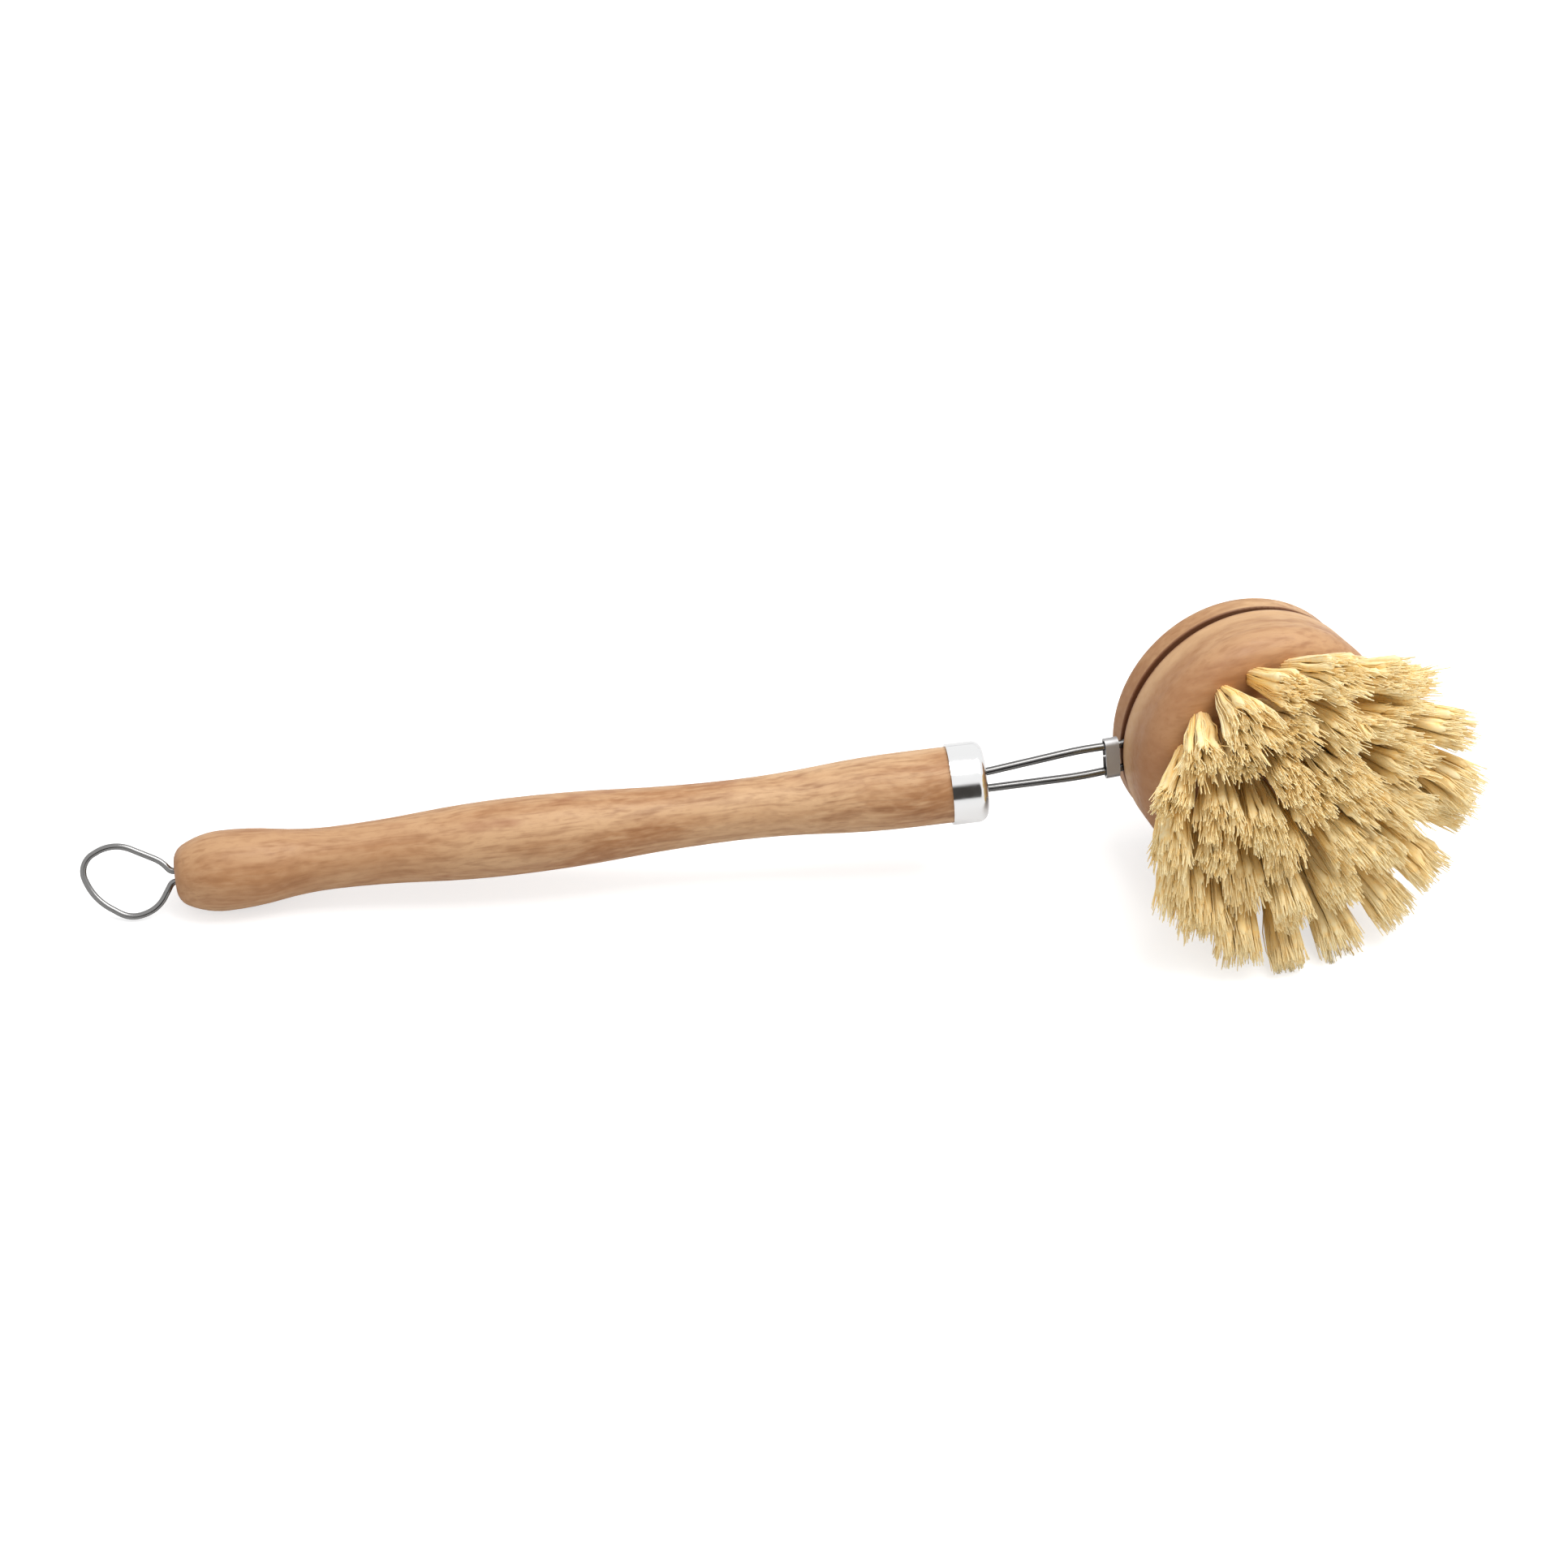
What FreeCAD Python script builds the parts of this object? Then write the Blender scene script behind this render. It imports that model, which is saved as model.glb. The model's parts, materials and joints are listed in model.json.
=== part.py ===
import FreeCAD, Part
import math
import os
import Sketcher
from FreeCAD import Matrix, Placement, Rotation, Vector

# Dish brush with a replaceable round head, lying on its side on a table.
# Every piece is drawn in the brush's own frame: origin at the centre of the wire ring,
# x from the handle towards the head, y across the two legs, z towards the bristle tips.
# One placement then lays the whole brush on the table. Lengths in mm, angles in degrees.
SIZES = {
    # turned handle; a place is a share of the length counted from the tail
    "handle_length": 151.2,
    "tail_flat_diameter": 9.0,
    "bulb_place": 0.060,
    "bulb_diameter": 15.0,
    "waist_place": 0.193,
    "waist_diameter": 11.6,
    "belly_place": 0.415,
    "belly_diameter": 14.4,
    "neck_place": 0.693,
    "neck_diameter": 11.4,
    "shoulder_place": 0.908,
    "seat_diameter": 14.3,
    "tail_rounding": 3.5,
    "seat_rounding": 1.5,
    # ferrule
    "ferrule_length": 6.8,
    "ferrule_wall": 0.45,
    # wire bow: gaps are from wire centre to wire centre
    "wire_diameter": 1.5,
    "leg_depth": 28.0,
    "leg_reach": 28.7,
    "leg_gap_exit": 3.5,
    "leg_gap_bulge": 5.6,
    "leg_gap_head": 4.9,
    "bulge_setback": 10.3,
    "handle_tilt": 13.0,
    "leg_tilt": 6.0,
    "ring_bend": 2.5,
    # lock clip: the setback is from the head's rim to the clip's near end
    "clip_length": 2.6,
    "clip_sheet": 0.45,
    "clip_play": 0.12,
    "clip_setback": 0.4,
    "clip_seam": 0.4,
    # hanging loop: the stub is what stands straight out of the wood
    "loop_wire_diameter": 1.2,
    "loop_length": 17.0,
    "loop_width": 13.4,
    "loop_gap": 2.0,
    "loop_stub": 0.7,
    "loop_depth": 15.0,
    "loop_turn": 27.0,
    # head block
    "block_diameter": 50.0,
    "block_face_diameter": 51.4,
    "block_depth": 13.7,
    "cap_diameter": 49.0,
    "cap_height": 5.9,
    "cap_rounding": 2.5,
    "face_rounding": 5.5,
    "groove_width": 2.2,
    "groove_depth": 3.2,
    "groove_rounding": 0.3,
    "ring_play": 0.2,
    # bristle tufts and their anchors
    "tuft_ring_radius": 19.0,
    "hole_diameter": 3.8,
    "hole_depth": 8.0,
    "tuft_length": 22.4,
    "tuft_tip_diameter": 7.6,
    "tuft_splay": 36.0,
    "tuft_lean": 19.0,
    "tuft_lean_towards": -70.0,
    "anchor_thickness": 0.35,
    "anchor_height": 1.8,
    # play of everything that is pressed or glued into place, round the legs in the ferrule's
    # slot, and behind the ends of the wires in their holes
    "fit_play": 0.04,
    "slot_play": 0.12,
    "end_play": 1.0,
}

# How many tufts each ring has, from the outer ring in evenly spaced steps to the centre
TUFT_COUNTS = {"outer": 18, "middle": 12, "inner": 6, "centre": 1}

# Corners of the bent hanging loop: share of its length, share of its width
LOOP_CORNERS = ((0.14, 0.23), (0.63, 0.57), (1.04, 0.33), (0.90, -0.19), (0.53, -0.52), (0.22, -0.42))
LOOP_BEND_SHARE = 0.46

doc = FreeCAD.newDocument("dish_brush")
sheet = doc.addObject("Spreadsheet::Sheet", "sizes")
for row, (alias, value) in enumerate(SIZES.items(), start=1):
    sheet.set(f"A{row}", alias)
    sheet.set(f"B{row}", str(value))
    sheet.setAlias(f"B{row}", alias)
doc.recompute()


def size(alias):
    """A driving size, read from the sheet."""
    return float(sheet.get(alias))


def bind(item, **sizes):
    """Bind properties of a document object to expressions over the sheet."""
    for name, expression in sizes.items():
        item.setExpression(name, expression)


def new_body(label):
    body = doc.addObject("PartDesign::Body", label)
    body.Label = label
    return body


def new_sketch(body, name, role, lift=None):
    """A sketch on one of the body's origin planes, lifted off it along its normal if asked."""
    sketch = body.newObject("Sketcher::SketchObject", name)
    plane = next(item for item in body.Origin.OriginFeatures if item.Role == role)
    sketch.AttachmentSupport = [(plane, "")]
    sketch.MapMode = "FlatFace"
    if lift is not None:
        sketch.setExpression("AttachmentOffset.Base.z", lift)
    return sketch


def fix(sketch, kind, geometry, point, expression, start=1.0):
    """Hold one coordinate of a point at the distance that an expression gives."""
    number = sketch.addConstraint(Sketcher.Constraint(kind, -1, 1, geometry, point, start))
    sketch.setExpression(f"Constraints[{number}]", expression)


def straight_outline(sketch, corners):
    """A closed outline of straight lines; None in a corner keeps it on that axis."""
    count = len(corners)
    turns = [2 * math.pi * index / count for index in range(count)]
    guesses = [Vector(30 + 10 * math.cos(turn), 30 + 10 * math.sin(turn), 0) for turn in turns]
    for index in range(count):
        sketch.addGeometry(Part.LineSegment(guesses[index], guesses[(index + 1) % count]))
    for index in range(count):
        sketch.addConstraint(Sketcher.Constraint("Coincident", index, 2, (index + 1) % count, 1))
    for index, (across, along) in enumerate(corners):
        for kind, axis, expression in (("DistanceX", -2, across), ("DistanceY", -1, along)):
            if expression is None:
                sketch.addConstraint(Sketcher.Constraint("PointOnObject", index, 1, axis))
            else:
                fix(sketch, kind, index, 1, expression)


def circles(sketch, centres, radius):
    """Circles on the sketch's upright axis, at heights given as expressions."""
    for number, height in enumerate(centres):
        sketch.addGeometry(Part.Circle(Vector(0, 5 * number + 1, 0), Vector(0, 0, 1), 1))
        sketch.addConstraint(Sketcher.Constraint("PointOnObject", number, 3, -2))
        fix(sketch, "DistanceY", number, 3, height)
        held = sketch.addConstraint(Sketcher.Constraint("Radius", number, 1))
        sketch.setExpression(f"Constraints[{held}]", radius)


def stadium(sketch, half_spacing, radius):
    """A slot outline with its long way up the sketch: two half circles joined by straights."""
    first_half = 5.0
    upper = Part.Circle(Vector(0, first_half, 0), Vector(0, 0, 1), 1)
    lower = Part.Circle(Vector(0, -first_half, 0), Vector(0, 0, 1), 1)
    sketch.addGeometry(Part.ArcOfCircle(upper, 0, math.pi))
    sketch.addGeometry(Part.LineSegment(Vector(-1, first_half, 0), Vector(-1, -first_half, 0)))
    sketch.addGeometry(Part.ArcOfCircle(lower, math.pi, 2 * math.pi))
    sketch.addGeometry(Part.LineSegment(Vector(1, -first_half, 0), Vector(1, first_half, 0)))
    for index in range(4):
        sketch.addConstraint(Sketcher.Constraint("Tangent", index, 2, (index + 1) % 4, 1))
    sketch.addConstraint(Sketcher.Constraint("PointOnObject", 0, 3, -2))
    sketch.addConstraint(Sketcher.Constraint("PointOnObject", 2, 3, -2))
    sketch.addConstraint(Sketcher.Constraint("Equal", 0, 2))
    fix(sketch, "DistanceY", 0, 3, half_spacing, first_half)
    fix(sketch, "DistanceY", 2, 3, f"-({half_spacing})", -first_half)
    held = sketch.addConstraint(Sketcher.Constraint("Radius", 0, 1))
    sketch.setExpression(f"Constraints[{held}]", radius)


def revolve(body, sketch, axis):
    turned = body.newObject("PartDesign::Revolution", body.Label + "_turned")
    turned.Profile = sketch
    turned.ReferenceAxis = (sketch, [axis])
    turned.Angle = 360
    doc.recompute()


def pocket(body, sketch, depth, backwards=False):
    """Cut a sketch into the body and make sure that it took wood or metal away."""
    before = body.Shape.Volume
    cut = body.newObject("PartDesign::Pocket", sketch.Name + "_cut")
    cut.Profile = sketch
    cut.Reversed = backwards
    bind(cut, Length=depth)
    doc.recompute()
    if body.Shape.Volume >= before:
        raise RuntimeError(f"{sketch.Name} cuts nothing from {body.Label}")


def round_edge(body, name, radius, middle, edge_radius):
    """Round the circular edge of the given radius whose centre lies at a point of the body."""
    feature = body.Tip
    for number, edge in enumerate(feature.Shape.Edges, start=1):
        circular = isinstance(edge.Curve, Part.Circle) and abs(edge.Curve.Radius - edge_radius) < 1e-4
        if circular and edge.Curve.Center.distanceToPoint(middle) < 1e-4:
            rounding = body.newObject("PartDesign::Fillet", name)
            rounding.Base = (feature, [f"Edge{number}"])
            bind(rounding, Radius=radius)
            doc.recompute()
            return
    raise RuntimeError(f"no edge for {name}")


def bent_path(points, trims):
    """Edges along a row of points, each inner corner rounded by an arc that starts and ends
    at the given distance from it."""
    edges = []
    last = points[0]
    for before, corner, after, trim in zip(points, points[1:], points[2:], trims):
        arriving = (corner - before).normalize()
        leaving = (after - corner).normalize()
        half_turn = arriving.getAngle(leaving) / 2
        radius = trim / math.tan(half_turn)
        inward = (leaving - arriving).normalize()
        first = corner - arriving * trim
        middle = corner + inward * (radius / math.cos(half_turn) - radius)
        final = corner + leaving * trim
        if last.distanceToPoint(first) > 1e-6:
            edges.append(Part.LineSegment(last, first).toShape())
        edges.append(Part.Arc(first, middle, final).toShape())
        last = final
    if last.distanceToPoint(points[-1]) > 1e-6:
        edges.append(Part.LineSegment(last, points[-1]).toShape())
    return edges


def round_wire(label, edges, diameter):
    """A round wire swept along a row of edges in space."""
    start = edges[0].valueAt(edges[0].FirstParameter)
    heading = edges[0].tangentAt(edges[0].FirstParameter)
    section = Part.Wire([Part.Circle(start, heading, diameter / 2).toShape()])
    wire = doc.addObject("Part::Feature", label)
    wire.Label = label
    wire.Shape = Part.Wire(edges).makePipeShell([section], True, False)
    return wire


# Where things sit in the brush's own frame
def along(tilt):
    """The direction that rises from the ring's plane by a tilt, towards the head."""
    return Vector(math.cos(math.radians(tilt)), 0, math.sin(math.radians(tilt)))


handle_axis = along(size("handle_tilt"))
leg_axis = along(size("leg_tilt"))
wire_radius = size("wire_diameter") / 2
ring_radius = size("block_diameter") / 2 - size("groove_depth") + size("ring_play") + wire_radius

# The ring leaves its circle where a bend of the given radius can turn it into the leg.
leg_half_head = size("leg_gap_head") / 2
bend_reach = ring_radius + size("ring_bend")
bend_centre = Vector(-math.sqrt(bend_reach ** 2 - (leg_half_head + size("ring_bend")) ** 2), 0, 0)
bend_centre.y = leg_half_head + size("ring_bend")
ring_end = bend_centre * (ring_radius / bend_reach)
ring_heading = Vector(ring_end.y, -ring_end.x, 0).normalize()
bend_trim = (ring_end.y - leg_half_head) / ring_heading.y
bend_corner = ring_end - ring_heading * bend_trim

bow_root = Vector(bend_corner.x, 0, 0)
ferrule_front = bow_root - leg_axis * size("leg_reach")
tail_end = ferrule_front - handle_axis * (size("handle_length") + size("ferrule_wall"))
handle_place = Placement(tail_end, Rotation(Vector(0, 1, 0), -size("handle_tilt")))
head_rim = max(size("cap_diameter"), size("block_diameter")) / 2
clip_reach = head_rim + size("clip_setback") + size("clip_length") / 2
clip_centre = bow_root - leg_axis * ((clip_reach + bow_root.x) / leg_axis.x)
clip_place = Placement(clip_centre, Rotation(Vector(0, 1, 0), -size("leg_tilt")))
face_height = size("groove_width") / 2 + size("block_depth")
cap_top = -(size("groove_width") / 2 + size("cap_height"))


def tuft_direction(turn, share):
    """Way a tuft points: splayed outwards, with the field leaning over to one side."""
    outward = Vector(math.cos(turn), math.sin(turn), 0)
    lean_turn = math.radians(size("tuft_lean_towards"))
    lean_way = Vector(math.cos(lean_turn), math.sin(lean_turn), 0)
    against = (1 - outward.dot(lean_way)) / 2
    slope = outward * size("tuft_splay") * share + lean_way * size("tuft_lean") * share * against
    if slope.Length == 0:
        return Vector(0, 0, 1)
    tilt = math.radians(slope.Length)
    return slope.normalize() * math.sin(tilt) + Vector(0, 0, math.cos(tilt))


def tuft_places():
    """Name and placement of every tuft: origin where it leaves the face, z along the tuft."""
    places = []
    steps = len(TUFT_COUNTS) - 1
    for step, (ring, count) in enumerate(TUFT_COUNTS.items()):
        share = 1 - step / steps
        stagger = math.pi / count if ring == "middle" else 0
        radius = size("tuft_ring_radius") * share
        for number in range(count):
            turn = stagger + 2 * math.pi * number / count
            root = Vector(radius * math.cos(turn), radius * math.sin(turn), face_height)
            turned = Rotation(Vector(0, 0, 1), tuft_direction(turn, share))
            places.append((f"{ring}_{number + 1:02d}", Placement(root, turned)))
    return places


# The resting attitude: the plane under the handle's bulb, the cap's rim and the lowest tuft
def lowest_of_ring(centre, axis, radius, rounding, up):
    """Lowest point of a round rim with a rounded edge."""
    sideways = (up - axis * up.dot(axis)).normalize()
    return centre - sideways * (radius - rounding) - up * rounding


def lying_placement():
    bulb_radius = size("bulb_diameter") / 2
    rise = bulb_radius - size("tail_flat_diameter") / 2
    bulb_station = size("handle_length") * size("bulb_place")
    bulb_rounding = (bulb_station ** 2 + rise ** 2) / (2 * rise)
    bulb_centre = tail_end + handle_axis * bulb_station
    rim_rounding = size("cap_rounding")
    rim_centre = Vector(0, 0, cap_top + rim_rounding)
    head_axis = Vector(0, 0, 1)
    tips = []
    for _, place in tuft_places():
        direction = place.Rotation.multVec(head_axis)
        tips.append((place.Base + direction * size("tuft_length"), direction))
    up = Vector(0, 1, 0)
    for _ in range(20):
        bulb = lowest_of_ring(bulb_centre, handle_axis, bulb_radius, bulb_rounding, up)
        rim = lowest_of_ring(rim_centre, head_axis, size("cap_diameter") / 2, rim_rounding, up)
        tip_radius = size("tuft_tip_diameter") / 2
        tip_points = [lowest_of_ring(tip, direction, tip_radius, 0, up) for tip, direction in tips]
        tip = min(tip_points, key=up.dot)
        up = (tip - bulb).cross(rim - bulb).normalize()
        if up.y < 0:
            up = up * -1
    ahead = (handle_axis - up * handle_axis.dot(up)).normalize()
    side = up.cross(ahead)
    floor = up.dot(rim)
    return Placement(Matrix(
        ahead.x, ahead.y, ahead.z, 0,
        side.x, side.y, side.z, 0,
        up.x, up.y, up.z, -floor,
        0, 0, 0, 1,
    ))


# Handle: tangent arcs between the bulb, waists and belly, turned about its length
def make_handle():
    body = new_body("handle")
    sketch = new_sketch(body, "handle_outline", "XY_Plane")
    names = ("bulb", "waist", "belly", "neck", "shoulder")
    stations = [size("handle_length") * size(name + "_place") for name in names]
    widths = [name + "_diameter" for name in names[:-1]] + ["seat_diameter"]
    tops = [Vector(station, size(width) / 2, 0) for station, width in zip(stations, widths)]
    tail_edge = Vector(0, size("tail_flat_diameter") / 2, 0)
    front = Vector(size("handle_length"), size("seat_diameter") / 2, 0)
    upright = Vector(0, 0, 1)

    def add_arc(left, right, centre):
        """An arc from left to right, and which of its ends lies left and right."""
        circle = Part.Circle(centre, upright, centre.distanceToPoint(left))
        angles = [math.atan2(end.y - centre.y, end.x - centre.x) for end in (left, right)]
        if centre.y > left.y:
            return sketch.addGeometry(Part.ArcOfCircle(circle, angles[0], angles[1])), 1, 2
        return sketch.addGeometry(Part.ArcOfCircle(circle, angles[1], angles[0])), 2, 1

    end_face = sketch.addGeometry(Part.LineSegment(Vector(0, 0, 0), tail_edge))
    sketch.addConstraint(Sketcher.Constraint("Coincident", end_face, 1, -1, 1))
    sketch.addConstraint(Sketcher.Constraint("Vertical", end_face))
    fix(sketch, "DistanceY", end_face, 2, "sizes.tail_flat_diameter / 2", tail_edge.y)

    rise = tops[0].y - tail_edge.y
    tail_radius = (tops[0].x ** 2 + rise ** 2) / (2 * rise)
    tail_arc, left, right = add_arc(tail_edge, tops[0], tops[0] - Vector(0, tail_radius, 0))
    sketch.addConstraint(Sketcher.Constraint("Coincident", end_face, 2, tail_arc, left))
    sketch.addConstraint(Sketcher.Constraint("Vertical", tail_arc, 3, tail_arc, right))
    last, last_end = tail_arc, right
    fix(sketch, "DistanceX", last, last_end, "sizes.handle_length * sizes.bulb_place", tops[0].x)
    fix(sketch, "DistanceY", last, last_end, "sizes.bulb_diameter / 2", tops[0].y)

    for first, second, name, width in zip(tops, tops[1:], names[1:], widths[1:]):
        drop = first.y - second.y
        radius = ((second.x - first.x) ** 2 + drop ** 2) / (4 * abs(drop))
        inward = Vector(0, math.copysign(radius, drop), 0)
        middle = (first + second) * 0.5
        near, near_left, near_right = add_arc(first, middle, first - inward)
        far, far_left, far_right = add_arc(middle, second, second + inward)
        sketch.addConstraint(Sketcher.Constraint("Coincident", last, last_end, near, near_left))
        sketch.addConstraint(Sketcher.Constraint("Tangent", near, near_right, far, far_left))
        sketch.addConstraint(Sketcher.Constraint("Vertical", near, 3, near, near_left))
        sketch.addConstraint(Sketcher.Constraint("Vertical", far, 3, far, far_right))
        sketch.addConstraint(Sketcher.Constraint("Equal", near, far))
        fix(sketch, "DistanceX", far, far_right, f"sizes.handle_length * sizes.{name}_place", second.x)
        fix(sketch, "DistanceY", far, far_right, f"sizes.{width} / 2", second.y)
        last, last_end = far, far_right

    seat = sketch.addGeometry(Part.LineSegment(tops[-1], front))
    front_face = sketch.addGeometry(Part.LineSegment(front, Vector(front.x, 0, 0)))
    axis = sketch.addGeometry(Part.LineSegment(Vector(front.x, 0, 0), Vector(0, 0, 0)))
    sketch.addConstraint(Sketcher.Constraint("Coincident", last, last_end, seat, 1))
    sketch.addConstraint(Sketcher.Constraint("Horizontal", seat))
    fix(sketch, "DistanceX", seat, 2, "sizes.handle_length", front.x)
    sketch.addConstraint(Sketcher.Constraint("Coincident", seat, 2, front_face, 1))
    sketch.addConstraint(Sketcher.Constraint("Vertical", front_face))
    sketch.addConstraint(Sketcher.Constraint("PointOnObject", front_face, 2, -1))
    sketch.addConstraint(Sketcher.Constraint("Coincident", front_face, 2, axis, 1))
    sketch.addConstraint(Sketcher.Constraint("Coincident", axis, 2, end_face, 1))

    revolve(body, sketch, "H_Axis")
    round_edge(body, "tail_round", "sizes.tail_rounding", Vector(0, 0, 0), tail_edge.y)
    round_edge(body, "seat_round", "sizes.seat_rounding", Vector(front.x, 0, 0), front.y)

    # Holes that hold the ends of the bow and of the hanging loop
    legs = new_sketch(body, "leg_holes", "YZ_Plane", "sizes.handle_length")
    leg_radius = "sizes.wire_diameter / 2 + sizes.fit_play"
    circles(legs, ("sizes.leg_gap_exit / 2", "-sizes.leg_gap_exit / 2"), leg_radius)
    legs.setExpression("AttachmentOffset.Rotation.Angle", "90")
    pocket(body, legs, "sizes.leg_depth + sizes.end_play")
    loop = new_sketch(body, "loop_holes", "YZ_Plane")
    loop_radius = "sizes.loop_wire_diameter / 2 + sizes.fit_play"
    circles(loop, ("sizes.loop_gap / 2", "-sizes.loop_gap / 2"), loop_radius)
    loop.setExpression("AttachmentOffset.Rotation.Angle", "-90 - sizes.loop_turn")
    pocket(body, loop, "sizes.loop_depth + sizes.end_play", backwards=True)
    return body


# Ferrule: a drawn cup over the front of the handle, with a slot for the two legs
def make_ferrule():
    body = new_body("ferrule")
    sketch = new_sketch(body, "ferrule_outline", "XY_Plane")
    inner = "sizes.seat_diameter / 2 + sizes.fit_play"
    outer = f"{inner} + sizes.ferrule_wall"
    straight_outline(sketch, (
        ("sizes.handle_length + sizes.ferrule_wall", None),
        ("sizes.handle_length + sizes.ferrule_wall", outer),
        ("sizes.handle_length + sizes.ferrule_wall - sizes.ferrule_length", outer),
        ("sizes.handle_length + sizes.ferrule_wall - sizes.ferrule_length", inner),
        ("sizes.handle_length", inner),
        ("sizes.handle_length", None),
    ))
    revolve(body, sketch, "H_Axis")
    inner_radius = size("seat_diameter") / 2 + size("fit_play")
    inside = Vector(size("handle_length"), 0, 0)
    outside = inside + Vector(size("ferrule_wall"), 0, 0)
    round_edge(body, "outer_round", "sizes.seat_rounding + sizes.ferrule_wall - sizes.fit_play",
               outside, inner_radius + size("ferrule_wall"))
    round_edge(body, "inner_round", "sizes.seat_rounding - sizes.fit_play", inside, inner_radius)
    slot = new_sketch(body, "leg_slot", "YZ_Plane", "sizes.handle_length + sizes.ferrule_wall")
    stadium(slot, "sizes.leg_gap_exit / 2", "sizes.wire_diameter / 2 + sizes.slot_play")
    slot.setExpression("AttachmentOffset.Rotation.Angle", "90")
    pocket(body, slot, "2 * sizes.ferrule_wall")
    return body


# Wire bow: leg out of the handle, round the head's groove and back
def make_bow():
    def leg_point(middle, half_gap, side):
        return middle + Vector(0, half_gap * side, 0)

    def leg(side):
        exit_half = size("leg_gap_exit") / 2
        buried = ferrule_front - handle_axis * (size("leg_depth") + size("ferrule_wall"))
        bulge = bow_root - leg_axis * size("bulge_setback")
        corner = Vector(bend_corner.x, bend_corner.y * side, 0)
        touch = Vector(ring_end.x, ring_end.y * side, 0)
        points = [leg_point(buried, exit_half, side), leg_point(ferrule_front, exit_half, side),
                  leg_point(bulge, size("leg_gap_bulge") / 2, side), corner, touch]
        exit_trim = size("wire_diameter")
        return bent_path(points, (exit_trim, 2 * exit_trim, bend_trim))

    there = leg(1)
    back = leg(-1)
    far = Vector(ring_radius, 0, 0)
    ring = Part.Arc(ring_end, far, Vector(ring_end.x, -ring_end.y, 0)).toShape()
    homeward = [edge.reversed() for edge in reversed(back)]
    return round_wire("wire_bow", there + [ring] + homeward, size("wire_diameter"))


# Lock clip: a strip folded round both legs, its ends meeting in a seam
def make_clip():
    body = new_body("lock_clip")
    inner_radius = "sizes.wire_diameter / 2 + sizes.clip_play"
    outer = new_sketch(body, "clip_outside", "YZ_Plane", "-sizes.clip_length / 2")
    stadium(outer, "sizes.leg_gap_bulge / 2", f"{inner_radius} + sizes.clip_sheet")
    outer.setExpression("AttachmentOffset.Rotation.Angle", "90")
    pad = body.newObject("PartDesign::Pad", "clip_pad")
    pad.Profile = outer
    bind(pad, Length="sizes.clip_length")
    doc.recompute()
    inside = new_sketch(body, "clip_inside", "YZ_Plane", "sizes.clip_length / 2")
    stadium(inside, "sizes.leg_gap_bulge / 2", inner_radius)
    inside.setExpression("AttachmentOffset.Rotation.Angle", "90")
    pocket(body, inside, "sizes.clip_length")
    seam = body.newObject("PartDesign::SubtractiveBox", "clip_seam")
    bind(seam, Length="sizes.clip_length", Width="sizes.clip_seam", Height="2 * sizes.clip_sheet")
    seam.setExpression("Placement.Base.x", "-sizes.clip_length / 2")
    seam.setExpression("Placement.Base.y", "-sizes.clip_seam / 2")
    seam.setExpression("Placement.Base.z", f"-({inner_radius} + 1.5 * sizes.clip_sheet)")
    doc.recompute()
    return body


# Hanging loop: a wire bent into a loop, both ends set in the tail of the handle
def make_loop():
    half_gap = size("loop_gap") / 2
    straight_out = size("loop_stub")
    corners = [Vector(-straight_out, half_gap, 0)]
    for reach, rise in LOOP_CORNERS:
        corners.append(Vector(-size("loop_length") * reach, size("loop_width") * rise, 0))
    corners.append(Vector(-straight_out, -half_gap, 0))
    lengths = [first.distanceToPoint(second) for first, second in zip(corners, corners[1:])]
    bends = [LOOP_BEND_SHARE * min(pair) for pair in zip(lengths, lengths[1:])]
    buried = Vector(size("loop_depth"), 0, 0)
    points = [corners[0] + buried] + corners + [corners[-1] + buried]
    trims = [straight_out] + bends + [straight_out]
    return round_wire("hanging_loop", bent_path(points, trims), size("loop_wire_diameter"))


# Head block: a turned disc with a groove for the ring, then one hole for every tuft
def make_block(places):
    blank = new_body("block_blank")
    sketch = new_sketch(blank, "block_outline", "XZ_Plane")
    groove_floor = "sizes.block_diameter / 2 - sizes.groove_depth"
    top = "-(sizes.groove_width / 2 + sizes.cap_height)"
    face = "sizes.groove_width / 2 + sizes.block_depth"
    straight_outline(sketch, (
        (None, top),
        ("sizes.cap_diameter / 2", top),
        ("sizes.cap_diameter / 2", "-sizes.groove_width / 2"),
        (groove_floor, "-sizes.groove_width / 2"),
        (groove_floor, "sizes.groove_width / 2"),
        ("sizes.block_diameter / 2", "sizes.groove_width / 2"),
        ("sizes.block_face_diameter / 2", face),
        (None, face),
    ))
    revolve(blank, sketch, "V_Axis")
    round_edge(blank, "cap_round", "sizes.cap_rounding", Vector(0, 0, cap_top), size("cap_diameter") / 2)
    round_edge(blank, "face_round", "sizes.face_rounding",
               Vector(0, 0, face_height), size("block_face_diameter") / 2)
    for side, width in ((-1, "cap_diameter"), (1, "block_diameter")):
        lip = Vector(0, 0, side * size("groove_width") / 2)
        round_edge(blank, f"{width}_lip", "sizes.groove_rounding", lip, size(width) / 2)
    drills = []
    for name, place in places:
        drill = doc.addObject("Part::Cylinder", "hole_" + name)
        bind(drill, Radius="sizes.hole_diameter / 2", Height="2 * sizes.hole_depth")
        drill.Placement = place * Placement(Vector(0, 0, -size("hole_depth")), Rotation())
        drills.append(drill)
    holes = doc.addObject("Part::MultiFuse", "tuft_holes")
    holes.Shapes = drills
    block = doc.addObject("Part::Cut", "head_block")
    block.Base = blank
    block.Tool = holes
    return block


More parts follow.
